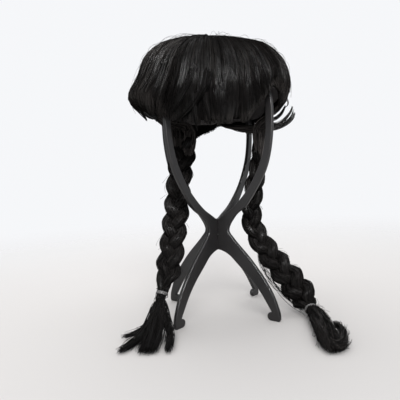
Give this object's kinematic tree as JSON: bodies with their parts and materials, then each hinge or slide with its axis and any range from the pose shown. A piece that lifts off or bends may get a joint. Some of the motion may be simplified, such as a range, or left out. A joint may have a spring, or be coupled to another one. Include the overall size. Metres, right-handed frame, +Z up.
{
  "type": "wig on slotted stand",
  "caption": "Black wig with a full fringe and long plaits tied at their ends, resting on a stand of crossed, slotted plastic panels.",
  "frame": {"origin": "middle of the object's box, on the floor under the stand's feet", "axes": "+Z up, the fringe faces -Y, +X towards the plait whose end lies on the floor"},
  "size_m": [0.236, 0.2384, 0.3345],
  "materials": {
    "stand_plastic": "satin moulded black plastic",
    "cap_net": "dark stretch net",
    "hair": "silky straight black fibre with a grey sheen",
    "tie_elastic": "dull grey elastic"
  },
  "bodies": {
    "root": {"stand_panel_a": "stand_plastic", "stand_panel_b": "stand_plastic", "cap": "cap_net", "hair_left": "hair", "hair_right": "hair", "fringe": "hair", "braid_left_1": "hair", "braid_left_2": "hair", "braid_left_3": "hair", "tie_left": "tie_elastic", "tail_left": "hair", "braid_right_1": "hair", "braid_right_2": "hair", "braid_right_3": "hair", "tie_right": "tie_elastic", "tail_right": "hair"}
  },
  "joints": []
}
